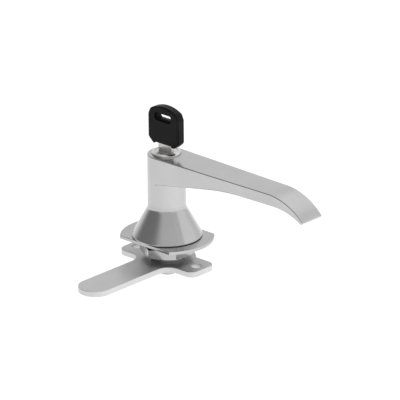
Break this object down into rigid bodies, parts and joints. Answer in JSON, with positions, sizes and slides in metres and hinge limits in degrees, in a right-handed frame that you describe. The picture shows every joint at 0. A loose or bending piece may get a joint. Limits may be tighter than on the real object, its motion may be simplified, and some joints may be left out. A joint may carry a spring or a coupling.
{
  "type": "cabinet drawer lock",
  "caption": "Lever handle cam lock with a key cylinder on a conical housing, clamped through a panel by a nut, turning a flat cam with a tongue and rod ears.",
  "frame": {"origin": "point on the lock axis in the plane of the base plate's underside, which is the panel's outer face", "axes": "+Z along the lock axis out of the panel towards the key, +X along the lever, -Y along the cam's tongue"},
  "size_m": [0.1409, 0.0898, 0.1013],
  "materials": {
    "satin_zinc": "satin chromed zinc casting",
    "plated_steel": "bright zinc plate",
    "cam_steel": "zinc-plated sheet steel",
    "bright_steel": "drawn steel bar",
    "spring_steel": "oiled spring steel",
    "nickel": "nickel plate",
    "key_steel": "nickel-plated key blank",
    "brass": "stamped brass",
    "bronze": "wrapped bronze bush",
    "rubber": "black nitrile rubber",
    "black_plastic": "moulded black plastic"
  },
  "bodies": {
    "housing": {"base_plate": "plated_steel", "base_seal": "rubber", "housing": "satin_zinc", "lock_nut": "plated_steel", "upper_bush": "bronze", "lower_bush": "bronze", "shaft_oring": "rubber", "thrust_washer": "plated_steel"},
    "handle": {"handle": "satin_zinc", "spindle": "bright_steel", "spindle_pin": "bright_steel", "cam": "cam_steel", "cam_washer": "plated_steel", "spring_washer": "spring_steel", "cam_bolt": "plated_steel", "cylinder_body": "nickel", "cylinder_set_screw": "spring_steel"},
    "plug": {"plug": "nickel", "plug_clip": "spring_steel", "wafers": "brass", "wafer_springs": "spring_steel", "drive_shaft": "bright_steel"},
    "lock_bolt": {"lock_bolt": "bright_steel"},
    "key": {"key_blade": "key_steel", "key_bow": "black_plastic"}
  },
  "joints": [
    {"name": "handle_turn", "type": "hinge", "parent": "housing", "child": "handle", "pos_m": [0, 0, 0], "axis": [0, 0, 1], "range_deg": [0, 90]},
    {"name": "plug_turn", "type": "hinge", "parent": "handle", "child": "plug", "pos_m": [0, 0, 0.04], "axis": [0, 0, 1], "range_deg": [0, 90]},
    {"name": "bolt_slide", "type": "slide", "parent": "handle", "child": "lock_bolt", "axis": [-1, 0, 0], "range_m": [0, 0.0022]},
    {"name": "key_pull", "type": "slide", "parent": "plug", "child": "key", "axis": [0, 0, 1], "range_m": [0, 0.03]}
  ],
  "couplings": [
    {"joint": "bolt_slide", "follows": "plug_turn", "m_per_rad": 0.0014}
  ]
}
